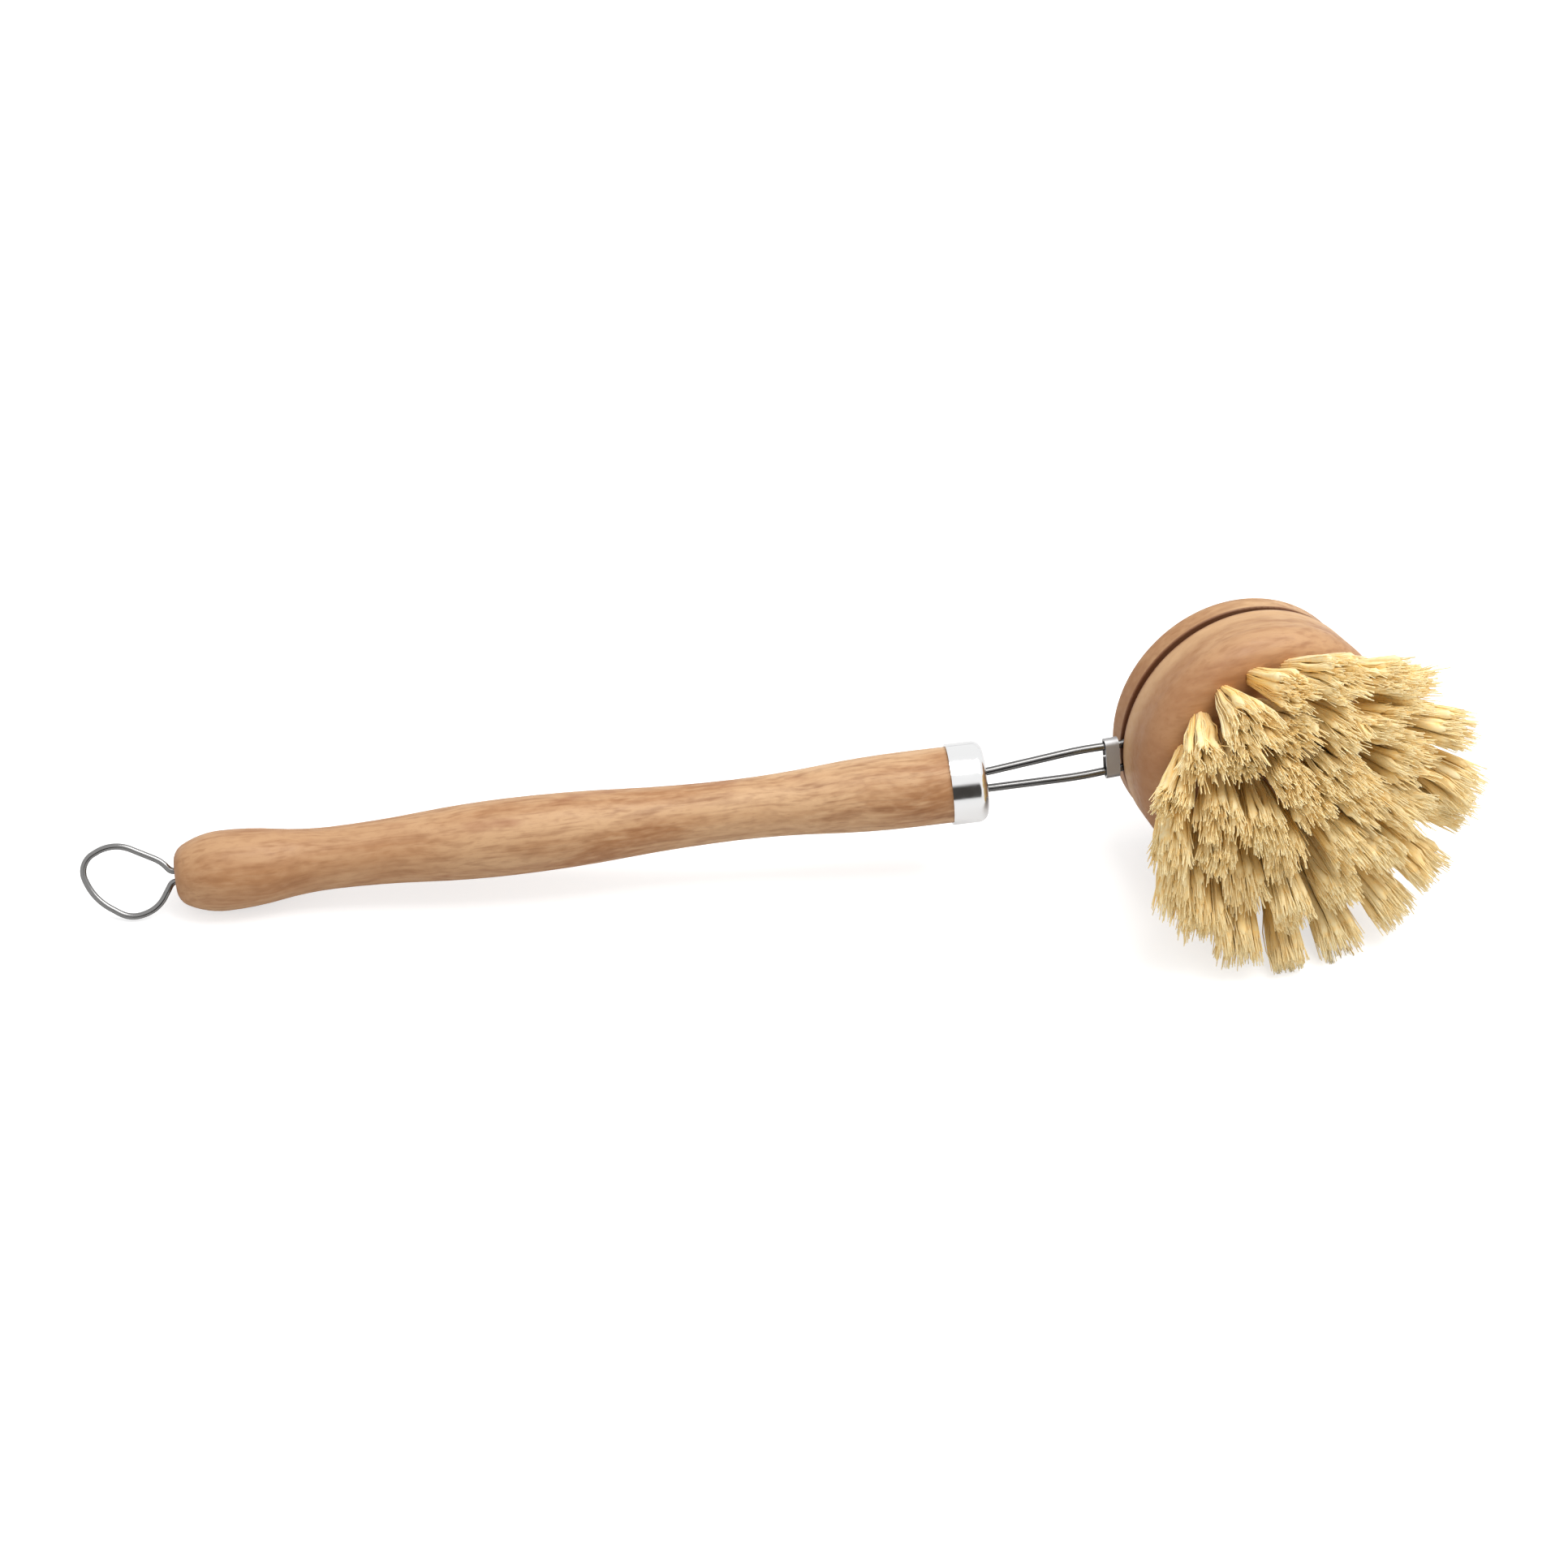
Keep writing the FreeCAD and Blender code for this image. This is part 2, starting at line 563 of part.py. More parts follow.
# One tuft: a straight root in its hole, flaring out above the face, slotted for its anchor
def make_tuft(label):
    body = new_body(label)
    root_radius = "sizes.hole_diameter / 2 - sizes.fit_play"
    root = body.newObject("PartDesign::AdditiveCylinder", label + "_root")
    bind(root, Radius=root_radius, Height="sizes.hole_depth - sizes.fit_play + sizes.hole_diameter / 2")
    root.setExpression("Placement.Base.z", "-sizes.hole_depth + sizes.fit_play")
    flare = body.newObject("PartDesign::AdditiveCone", label + "_flare")
    bind(flare, Radius1=root_radius, Radius2="sizes.tuft_tip_diameter / 2",
         Height="sizes.tuft_length - sizes.hole_diameter / 2")
    flare.setExpression("Placement.Base.z", "sizes.hole_diameter / 2")
    slot = body.newObject("PartDesign::SubtractiveBox", label + "_slot")
    bind(slot, Length="2 * sizes.hole_diameter", Width="sizes.anchor_thickness + 2 * sizes.fit_play",
         Height="sizes.anchor_height + 2 * sizes.fit_play")
    slot.setExpression("Placement.Base.x", "-sizes.hole_diameter")
    slot.setExpression("Placement.Base.y", "-sizes.anchor_thickness / 2 - sizes.fit_play")
    slot.setExpression("Placement.Base.z", "-sizes.hole_depth + sizes.anchor_height / 2 - sizes.fit_play")
    return body


# Anchors: a flat strip through the fold of every tuft, just above the bottom of its hole
def make_anchors(places):
    strips = []
    half_width = size("hole_diameter") / 2 - size("fit_play")
    for name, place in places:
        strip = doc.addObject("Part::Box", "anchor_" + name)
        bind(strip, Length="sizes.hole_diameter - 2 * sizes.fit_play", Width="sizes.anchor_thickness",
             Height="sizes.anchor_height")
        corner = Vector(-half_width, -size("anchor_thickness") / 2,
                        -size("hole_depth") + size("anchor_height") / 2)
        strip.Placement = place * Placement(corner, Rotation())
        strips.append(strip)
    anchors = doc.addObject("Part::Compound", "tuft_anchors")
    anchors.Links = strips
    return anchors


# Build every piece, lay the brush down and centre it over the origin
tufts = tuft_places()
loop_place = handle_place * Placement(Vector(0, 0, 0), Rotation(Vector(1, 0, 0), -size("loop_turn")))
pieces = [
    (make_handle(), handle_place),
    (make_ferrule(), handle_place),
    (make_bow(), Placement()),
    (make_clip(), clip_place),
    (make_loop(), loop_place),
    (make_block(tufts), Placement()),
    (make_anchors(tufts), Placement()),
]
for tuft_name, tuft_place in tufts:
    pieces.append((make_tuft("tuft_" + tuft_name), tuft_place))

lying = lying_placement()
for piece, place in pieces:
    piece.Placement = lying * place
doc.recompute()

bounds = FreeCAD.BoundBox()
for piece, _ in pieces:
    bounds.add(piece.Shape.optimalBoundingBox(False, False))
centring = Placement(Vector(-bounds.Center.x, -bounds.Center.y, 0), Rotation())
for piece, place in pieces:
    piece.Placement = centring * lying * place
doc.recompute()

for item in doc.Objects:
    if "Invalid" in item.State or "Error" in item.State:
        raise RuntimeError(f"{item.Label} did not recompute: {item.State}")

os.makedirs("parts", exist_ok=True)
for piece, _ in pieces:
    if piece.Shape.isNull() or not piece.Shape.isValid():
        raise RuntimeError(f"{piece.Label} has no valid shape")
    piece.Shape.exportStep(f"parts/{piece.Label}.step")
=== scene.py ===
import json
import math

import bpy
import numpy as np
from mathutils import Matrix, Vector


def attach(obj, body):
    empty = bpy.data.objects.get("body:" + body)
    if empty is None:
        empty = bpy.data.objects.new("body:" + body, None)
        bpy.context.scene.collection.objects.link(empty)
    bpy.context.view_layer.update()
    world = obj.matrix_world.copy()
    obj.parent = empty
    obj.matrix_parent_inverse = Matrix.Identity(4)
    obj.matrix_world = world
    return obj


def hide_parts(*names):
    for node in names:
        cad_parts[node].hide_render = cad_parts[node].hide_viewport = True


# Dish brush lying on its side on a table. Lengths in metres, in the same frame as the solids.
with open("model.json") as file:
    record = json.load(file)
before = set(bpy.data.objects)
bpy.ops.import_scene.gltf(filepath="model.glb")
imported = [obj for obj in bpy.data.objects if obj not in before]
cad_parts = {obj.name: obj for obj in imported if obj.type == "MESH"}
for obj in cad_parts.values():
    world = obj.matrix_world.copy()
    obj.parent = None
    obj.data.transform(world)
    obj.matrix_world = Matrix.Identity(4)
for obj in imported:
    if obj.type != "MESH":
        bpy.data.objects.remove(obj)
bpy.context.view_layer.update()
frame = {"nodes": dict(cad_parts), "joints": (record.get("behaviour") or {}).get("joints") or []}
nodes = frame["nodes"]
joints = {joint["name"]: joint for joint in frame["joints"]}
MM = 0.001


# Colours, given as they look on a screen
def screen_colour(red, green, blue):
    """A linear colour from the 0 to 255 values of a screen."""
    shares = [value / 255 for value in (red, green, blue)]
    linear = [s / 12.92 if s <= 0.04045 else ((s + 0.055) / 1.055) ** 2.4 for s in shares]
    return (*linear, 1.0)


WHITE = (1.0, 1.0, 1.0, 1.0)
FLOOR_WHITE = (0.66, 0.66, 0.66, 1.0)
ROOM_GREY = (0.05, 0.046, 0.042, 1.0)
HANDLE_WOOD = {
    "pale": screen_colour(210, 171, 130),
    "warm": screen_colour(168, 118, 76),
    "dark": screen_colour(126, 78, 44),
    "red": screen_colour(140, 78, 50),
    "end": screen_colour(172, 118, 74),
}
HEAD_WOOD = {
    "pale": screen_colour(214, 175, 131),
    "warm": screen_colour(164, 117, 76),
    "dark": screen_colour(130, 81, 46),
    "red": screen_colour(160, 111, 77),
    "end": screen_colour(166, 116, 77),
    # The groove tone is painted shade, in the groove and just beside it
    "groove": screen_colour(98, 50, 24),
}
BRIGHT_STEEL = screen_colour(240, 240, 240)
# The wire and loop steels are darker than bare steel, a painted reflection of a darker room
WIRE_STEEL_DARK_REFLECTION = screen_colour(112, 111, 110)
LOOP_STEEL_DARK_REFLECTION = screen_colour(136, 135, 134)
SHEET_STEEL = screen_colour(176, 175, 175)
# The root colour is painted shade, deep among the tufts
FIBRE_ROOT_SHADE = screen_colour(220, 156, 74)
FIBRE_GOLD = screen_colour(255, 212, 122)
FIBRE_PALE = screen_colour(255, 240, 196)

# Directions: the handle's length, the head's axis towards the bristle tips, and the head's own
# two cross directions, ahead of the handle and across it
HANDLE_GRAIN = Vector((0.9948, 0.0, 0.1019))
head_centre = Vector(joints["head_turn"]["pos_m"])
head_axis = Vector(joints["head_turn"]["axis"]).normalized()
legs_ahead = -Vector(joints["clip_slide"]["axis"])
head_ahead = (legs_ahead - head_axis * legs_ahead.dot(head_axis)).normalized()
head_across = head_axis.cross(head_ahead)


# Shader graphs
class Graph:
    """The node graph of one material or world."""

    def __init__(self, owner):
        owner.use_nodes = True
        self.tree = owner.node_tree

    def add(self, kind, inputs=None, **settings):
        """A new node; an input is a plain value or another node's output."""
        node = self.tree.nodes.new(kind)
        for name, value in settings.items():
            setattr(node, name, value)
        for socket, value in (inputs or {}).items():
            self.put(node.inputs[socket], value)
        return node

    def put(self, socket, value):
        if isinstance(value, bpy.types.NodeSocket):
            self.tree.links.new(value, socket)
        else:
            socket.default_value = value

    def noise(self, vector, detail=2.0):
        inputs = {"Vector": vector, "Scale": 1.0, "Detail": detail}
        return self.add("ShaderNodeTexNoise", inputs).outputs[0]

    def vector_maths(self, operation, first, second):
        return self.add("ShaderNodeVectorMath", {0: first, 1: second}, operation=operation)

    def maths(self, operation, first, second):
        return self.add("ShaderNodeMath", {0: first, 1: second}, operation=operation).outputs[0]

    def step(self, value, low, high, start=0.0, end=1.0):
        """A smooth step, from start where the value is low to end where it is high."""
        inputs = {"Value": value, "From Min": low, "From Max": high, "To Min": start, "To Max": end}
        return self.add("ShaderNodeMapRange", inputs, interpolation_type="SMOOTHSTEP").outputs[0]

    def mix(self, share, first, second):
        """A mix of two colours; the colour sockets of this node are numbers 6 and 7, and 2 out."""
        return self.add("ShaderNodeMix", {0: share, 6: first, 7: second}, data_type="RGBA").outputs[2]

    def bump(self, height, strength, distance):
        inputs = {"Height": height, "Strength": strength, "Distance": distance}
        return self.add("ShaderNodeBump", inputs).outputs[0]


def new_material(name):
    material = bpy.data.materials.new(name)
    graph = Graph(material)
    return material, graph, graph.tree.nodes["Principled BSDF"]


# Values between which most of a noise falls, and the middle of a noise in three directions
NOISE_RANGE = (0.3, 0.7)
NOISE_MIDDLE = (0.5, 0.5, 0.5)

# Wood: a solid grain that runs one way through the piece. Each noise has so many features in a metre
# along and across the grain, and its own detail.
GRAIN_NOISES = {
    "patches": (22, 110, 3.0),
    "streaks": (95, 800, 3.0),
    "lines": (24, 1500, 1.0),
    "knots": (60, 190, 1.0),
    "mottle": (420, 1000, 1.0),
    "flecks": (240, 1300, 2.0),
    "pores": (900, 5200, 2.0),
}
# Layers over the pale wood: a noise, its tone, the values of the noise where the tone starts and
# where it is strongest, and the tone's largest share
GRAIN_LAYERS = (
    ("patches", "warm", 0.34, 0.66, 1.0),
    ("streaks", "dark", 0.48, 0.74, 0.42),
    ("streaks", "pale", 0.52, 0.28, 0.60),
    ("lines", "dark", 0.54, 0.74, 0.34),
    ("mottle", "dark", 0.46, 0.76, 0.22),
    ("mottle", "pale", 0.54, 0.26, 0.28),
    ("knots", "red", 0.62, 0.80, 0.60),
    ("flecks", "dark", 0.54, 0.78, 0.26),
    ("pores", "dark", 0.55, 0.80, 0.22),
)
SWAY_SCALE = 45.0
SWAY_REACH = 4 * MM
END_GRAIN_SHARE = 0.8
BACK_END_SHARE = 0.45
WOOD_ROUGHNESS = (0.42, 0.58)
WOOD_SHINE = 0.35
FLECK_RELIEF = 0.6
PORE_RELIEF = 0.4
WOOD_BUMP = 0.22
WOOD_BUMP_DEPTH = 0.12 * MM
# Rim of the head: heights from the groove, towards the bristles, over which a tone comes or goes.
# Red there is partly the wood's tone and partly painted shade under the bristles, the pale band is a
# painted highlight on the block's edge, and the groove tone is painted shade in and beside the groove.
RED_AND_SHADE_RISE = (3 * MM, 13 * MM)
HIGHLIGHT_BAND_RISE = (1.2 * MM, 2.2 * MM)
HIGHLIGHT_BAND_FALL = (3 * MM, 7 * MM)
GROOVE_SHADE_EDGE = (1.1 * MM, 1.7 * MM)
RED_AND_SHADE_SHARE = 0.35
HIGHLIGHT_BAND_SHARE = 0.55
GROOVE_SHADE_SHARE = 0.88


def grain_noises(graph, place, grain, fineness):
    """The noises of the grain, which runs straight but for a slow sway."""
    turn = grain.rotation_difference(Vector((1, 0, 0))).to_euler()
    straight = graph.add("ShaderNodeMapping", {"Vector": place, "Rotation": turn}).outputs[0]
    inputs = {"Vector": straight, "Scale": SWAY_SCALE, "Detail": 1.0}
    sway = graph.add("ShaderNodeTexNoise", inputs).outputs["Color"]
    sway = graph.vector_maths("SUBTRACT", sway, NOISE_MIDDLE).outputs[0]
    sway = graph.vector_maths("MULTIPLY", sway, (0.0, SWAY_REACH, SWAY_REACH)).outputs[0]
    wavy = graph.vector_maths("ADD", straight, sway).outputs[0]
    noises = {}
    for layer, (along, across, detail) in GRAIN_NOISES.items():
        scale = (along * fineness, across * fineness, across * fineness)
        noises[layer] = graph.noise(graph.vector_maths("MULTIPLY", wavy, scale).outputs[0], detail)
    return noises


def rim_shares(graph, place, centre, axis):
    """Shares of the tones at a rim: red towards the bristles, partly painted shade; a pale band of
    painted highlight; and painted shade in the groove.
    """
    offset = graph.vector_maths("SUBTRACT", place, tuple(centre)).outputs[0]
    height = graph.vector_maths("DOT_PRODUCT", offset, tuple(axis)).outputs["Value"]
    from_groove = graph.maths("ABSOLUTE", height, 0.0)
    # Painted highlight: a pale band on the block's edge just past the groove
    highlight_band_start = graph.step(height, *HIGHLIGHT_BAND_RISE, 0.0, HIGHLIGHT_BAND_SHARE)
    highlight_band_end = graph.step(height, *HIGHLIGHT_BAND_FALL, 1.0, 0.0)
    return {
        # Redder towards the bristles, partly the wood's tone and partly painted shade under them
        "red": graph.step(height, *RED_AND_SHADE_RISE, 0.0, RED_AND_SHADE_SHARE),
        "pale": graph.maths("MULTIPLY", highlight_band_start, highlight_band_end),
        # Painted shade in and beside the groove
        "groove": graph.step(from_groove, *GROOVE_SHADE_EDGE, GROOVE_SHADE_SHARE, 0.0),
    }


# The wood has wavy pale and dark streaks with short flecks, fine pores and a few reddish patches, and
# darker end grain where the surface cuts across it. It is warmer at its back end and pales towards
# its front end along the grain. A rim, if there is one, is given as its groove's centre and axis; it
# gets painted shade in the groove and towards the bristles, and a painted highlight band by the groove.
def turned_wood(name, grain, tones, fineness, back_end, front_end, rim=None):
    material, graph, shader = new_material(name)
    place = graph.add("ShaderNodeTexCoord").outputs
    noises = grain_noises(graph, place["Object"], grain, fineness)
    colour = tones["pale"]
    for layer, tone, start, strongest, share in GRAIN_LAYERS:
        colour = graph.mix(graph.step(noises[layer], start, strongest, 0.0, share), colour, tones[tone])

    facing = graph.vector_maths("DOT_PRODUCT", place["Normal"], tuple(grain)).outputs["Value"]
    end_grain = graph.maths("POWER", graph.maths("ABSOLUTE", facing, 0.0), 2.0)
    colour = graph.mix(graph.maths("MULTIPLY", end_grain, END_GRAIN_SHARE), colour, tones["end"])
    station = graph.vector_maths("DOT_PRODUCT", place["Object"], tuple(grain)).outputs["Value"]
    warmth = graph.step(station, back_end, front_end, BACK_END_SHARE, 0.0)
    colour = graph.mix(warmth, colour, tones["warm"])
    # Painted shade in the groove and towards the bristles, and a painted highlight band on the rim
    if rim is not None:
        for tone, share in rim_shares(graph, place["Object"], *rim).items():
            colour = graph.mix(share, colour, tones[tone])

    graph.put(shader.inputs["Base Color"], colour)
    roughness = graph.step(noises["flecks"], *NOISE_RANGE, *WOOD_ROUGHNESS)
    graph.put(shader.inputs["Roughness"], roughness)
    fleck_relief = graph.maths("MULTIPLY", noises["flecks"], FLECK_RELIEF)
    pore_relief = graph.maths("MULTIPLY", noises["pores"], PORE_RELIEF)
    relief = graph.maths("ADD", fleck_relief, pore_relief)
    graph.put(shader.inputs["Normal"], graph.bump(relief, WOOD_BUMP, WOOD_BUMP_DEPTH))
    shader.inputs["Specular IOR Level"].default_value = WOOD_SHINE
    return material


# Steel: from polish to satin, with faint drawing marks and cloudy patches
CLOUD_SCALE = (300, 300, 300)
MARK_SCALE = (400, 6000, 6000)
MARK_BUMP = 0.05
MARK_DEPTH = 0.03 * MM


def drawn_steel(name, colour, smooth, dull):
    """Steel whose roughness goes from smooth to dull in its clouds."""
    material, graph, shader = new_material(name)
    place = graph.add("ShaderNodeTexCoord").outputs["Object"]
    cloud = graph.noise(graph.vector_maths("MULTIPLY", place, CLOUD_SCALE).outputs[0])
    marks = graph.noise(graph.vector_maths("MULTIPLY", place, MARK_SCALE).outputs[0])
    shader.inputs["Base Color"].default_value = colour
    shader.inputs["Metallic"].default_value = 1.0
    graph.put(shader.inputs["Roughness"], graph.step(cloud, *NOISE_RANGE, smooth, dull))
    graph.put(shader.inputs["Normal"], graph.bump(marks, MARK_BUMP, MARK_DEPTH))
    return material


# Fibre: straw colours that differ from fibre to fibre, with a painted highlight that pales the tips and
# painted shade that browns the roots.
# Heights go from 0 at the head's face to 1 at the tip.
TIP_HIGHLIGHT_RISE = (0.5, 1.0)
TIP_HIGHLIGHT_SHARE = 0.6
ROOT_SHADE_FALL = (0.0, 0.3)
ROOT_SHADE_SHARE = 0.3
MOTTLE_SCALE = (700, 700, 700)
MOTTLE_RISE = (0.45, 0.75)
MOTTLE_SHARE = 0.5
FIBRE_ROUGHNESS = (0.45, 0.62)
FIBRE_SHINE = 0.15


def plant_fibre(name):
    material, graph, shader = new_material(name)
    tone = graph.add("ShaderNodeAttribute", attribute_name="fibre_tone").outputs["Fac"]
    height = graph.add("ShaderNodeAttribute", attribute_name="fibre_height").outputs["Fac"]
    place = graph.add("ShaderNodeTexCoord").outputs["Object"]
    mottle = graph.noise(graph.vector_maths("MULTIPLY", place, MOTTLE_SCALE).outputs[0])
    colour = graph.mix(tone, FIBRE_GOLD, FIBRE_PALE)
    # Painted highlight at the tips
    colour = graph.mix(graph.step(height, *TIP_HIGHLIGHT_RISE, 0.0, TIP_HIGHLIGHT_SHARE), colour, FIBRE_PALE)
    colour = graph.mix(graph.step(mottle, *MOTTLE_RISE, 0.0, MOTTLE_SHARE), colour, FIBRE_GOLD)
    # Painted shade at the roots
    colour = graph.mix(graph.step(height, *ROOT_SHADE_FALL, ROOT_SHADE_SHARE, 0.0), colour, FIBRE_ROOT_SHADE)
    graph.put(shader.inputs["Base Color"], colour)
    graph.put(shader.inputs["Roughness"], graph.step(mottle, *NOISE_RANGE, *FIBRE_ROUGHNESS))
    shader.inputs["Specular IOR Level"].default_value = FIBRE_SHINE
    return material


handle_wood = turned_wood(
    "handle_wood", HANDLE_GRAIN, HANDLE_WOOD,
    fineness=1.0, back_end=-110 * MM, front_end=30 * MM,
)
head_middle = head_centre.dot(head_ahead)
head_wood = turned_wood(
    "head_wood", head_ahead, HEAD_WOOD,
    fineness=0.7, back_end=head_middle - 25 * MM, front_end=head_middle + 20 * MM,
    rim=(head_centre, head_axis),
)
bright_steel = drawn_steel("bright_steel", BRIGHT_STEEL, smooth=0.07, dull=0.15)
# Wire and loop steel darkened as a painted reflection of a darker room
wire_steel = drawn_steel("wire_steel", WIRE_STEEL_DARK_REFLECTION, smooth=0.16, dull=0.28)
loop_steel = drawn_steel("loop_steel", LOOP_STEEL_DARK_REFLECTION, smooth=0.18, dull=0.3)
sheet_steel = drawn_steel("sheet_steel", SHEET_STEEL, smooth=0.42, dull=0.55)
fibre = plant_fibre("bristle_fibre")

FINISHES = {
    "handle": handle_wood,
    "head_block": head_wood,
    "ferrule": bright_steel,
    "wire_bow": wire_steel,
    "lock_clip": sheet_steel,
    "hanging_loop": loop_steel,
    "tuft_anchors": wire_steel,
}
for node_name, finish in FINISHES.items():
    for slot in nodes[node_name].material_slots:
        slot.material = finish

# Bristles: every tuft is a bundle of separate fibres, narrow in its hole and fanned out at the tip.
# The places of the tufts are those of the solids.
TUFT_COUNTS = {"outer": 18, "middle": 12, "inner": 6, "centre": 1}
TUFT_RING_RADIUS = 19.0 * MM
FACE_HEIGHT = 14.8 * MM
TUFT_SPLAY = math.radians(36)
TUFT_LEAN = math.radians(19)
TUFT_LEAN_TOWARDS = math.radians(-70)
# One tuft
HOLE_RADIUS = 1.9 * MM
ROOT_DEPTH = 3.0 * MM
TUFT_LENGTH = 22.4 * MM
TUFT_STRETCH = 0.97
TUFT_STRETCH_SCATTER = 0.05
TUFT_BEND = 0.9 * MM
TIP_RADIUS = 4.6 * MM
TIP_RADIUS_SCATTER = 0.12
# Its locks, and the solid heart of each
LOCKS_PER_TUFT = 18
LOCK_PULL = 0.4
LOCK_WAVE = 0.3 * MM
LOCK_STRETCH_SCATTER = 0.035
LOCK_TONES = 0.6
HEART_SHARE = 1.05
HEART_END = 0.4
# Its fibres
FIBRES_PER_TUFT = 220
FIBRE_RADIUS = 0.15 * MM
FIBRE_TAPER = 0.4
FIBRE_RINGS = 8
FIBRE_SIDES = 5
FIBRE_SCATTER = 0.09
FIBRE_CURL = 0.25 * MM
FIBRE_STRETCH_SCATTER = 0.035
FIBRE_TONES = 0.4
MOST_STRETCH = 1.06
FLOOR_CLEARANCE = 0.2 * MM
# The ways in which points and waves are spread, and the seed of the first tuft
WAVE_TURN = 9.0
GOLDEN_TURN = math.pi * (3 - math.sqrt(5))
SPOT_MARGIN = 0.2
FIRST_SEED = 200


def tuft_places():
    """Name, root on the head's face and direction of every tuft, in the part's own frame."""
    head = Matrix((head_ahead, head_across, head_axis)).transposed()
    lean_way = Vector((math.cos(TUFT_LEAN_TOWARDS), math.sin(TUFT_LEAN_TOWARDS), 0))
    steps = len(TUFT_COUNTS) - 1
    for step, (ring, count) in enumerate(TUFT_COUNTS.items()):
        share = 1 - step / steps
        stagger = math.pi / count if ring == "middle" else 0
        for number in range(count):
            turn = stagger + 2 * math.pi * number / count
            outward = Vector((math.cos(turn), math.sin(turn), 0))
            against = (1 - outward.dot(lean_way)) / 2
            slope = outward * TUFT_SPLAY * share + lean_way * TUFT_LEAN * share * against
            tilt = slope.length
            direction = slope.normalized() * math.sin(tilt) + Vector((0, 0, math.cos(tilt)))
            root = outward * TUFT_RING_RADIUS * share + Vector((0, 0, FACE_HEIGHT))
            yield f"{ring}_{number + 1:02d}", head_centre + head @ root, head @ direction


def disc_spots(dice, count):
    """Points spread evenly over a disc of radius 1."""
    turn = dice.uniform(0, 2 * math.pi, count)
    reach = np.sqrt(dice.uniform(0, 1, count))
    return np.stack([reach * np.cos(turn), reach * np.sin(turn)], axis=1)


def spread_spots(dice, count):
    """Points over a disc of radius 1, each in a share of its own."""
    turn = GOLDEN_TURN * np.arange(count) + dice.uniform(0, 2 * math.pi)
    reach = np.sqrt((np.arange(count) + dice.uniform(SPOT_MARGIN, 1 - SPOT_MARGIN, count)) / count)
    return np.stack([reach * np.cos(turn), reach * np.sin(turn)], axis=1)


def wave(dice, count, size, owner, fanned):
    """Sideways wave of every fibre, shared by all those of one owner, from nothing at the root."""
    reach = dice.normal(0, size, (count, 1, 2))[owner]
    phase = dice.uniform(0, 2 * math.pi, (count, 1, 1))[owner]
    return reach * np.sin(phase + WAVE_TURN * fanned) * fanned


def draw_fibres(root, direction, sideways, dice):
    """Lines, radii, heights and tones of a tuft's fibres, and the lock that each one is in."""
    roots = disc_spots(dice, FIBRES_PER_TUFT)
    locks = spread_spots(dice, LOCKS_PER_TUFT)
    lock_of = np.argmin(np.linalg.norm(roots[:, None] - locks[None], axis=2), axis=1)
    stretch = TUFT_STRETCH + dice.normal(0, TUFT_STRETCH_SCATTER)
    stretch = stretch + dice.normal(0, LOCK_STRETCH_SCATTER, LOCKS_PER_TUFT)[lock_of]
    stretch = stretch + dice.normal(0, FIBRE_STRETCH_SCATTER, FIBRES_PER_TUFT)
    length = TUFT_LENGTH * np.minimum(stretch, MOST_STRETCH)[:, None]
    along = -ROOT_DEPTH + np.linspace(0, 1, FIBRE_RINGS) * (length + ROOT_DEPTH)
    height = np.clip(along / length, 0, 1)

    fanned = height[..., None]
    tips = roots + LOCK_PULL * (locks[lock_of] - roots) + dice.normal(0, FIBRE_SCATTER, roots.shape)
    tip_radius = TIP_RADIUS * (1 + dice.normal(0, TIP_RADIUS_SCATTER))
    offsets = roots[:, None] * HOLE_RADIUS * (1 - fanned) + tips[:, None] * tip_radius * fanned
    offsets = offsets + dice.normal(0, TUFT_BEND, 2) * fanned ** 2
    offsets = offsets + wave(dice, LOCKS_PER_TUFT, LOCK_WAVE, lock_of, fanned)
    offsets = offsets + wave(dice, FIBRES_PER_TUFT, FIBRE_CURL, np.arange(FIBRES_PER_TUFT), fanned)
    lines = np.array(root) + along[..., None] * np.array(direction) + offsets @ sideways
    radius = FIBRE_RADIUS * (1 - FIBRE_TAPER * height ** 2)
    lock_tones = dice.uniform(0, LOCK_TONES, LOCKS_PER_TUFT)
    tones = lock_tones[lock_of] + dice.uniform(0, FIBRE_TONES, FIBRES_PER_TUFT)
    return lines, radius, height, tones, lock_of


def draw_hearts(lines, height, tones, lock_of):
    """Lines, radii, heights and tones of the locks' hearts, whose fibres touch as one solid strand."""
    members = [lock_of == lock for lock in np.unique(lock_of)]
    hearts = np.stack([lines[mine].mean(axis=0) for mine in members])
    spreads = [np.linalg.norm(lines[mine] - heart, axis=2) for mine, heart in zip(members, hearts)]
    widths = HEART_SHARE * np.stack([spread.mean(axis=0) for spread in spreads])
    hearts[:, -1] = hearts[:, -2] + HEART_END * (hearts[:, -1] - hearts[:, -2])
    widths[:, -1] = widths[:, -1] * HEART_END
    heart_height = np.stack([height[mine].mean(axis=0) for mine in members])
    heart_tones = np.stack([tones[mine].mean() for mine in members])
    return hearts, widths, heart_height, heart_tones


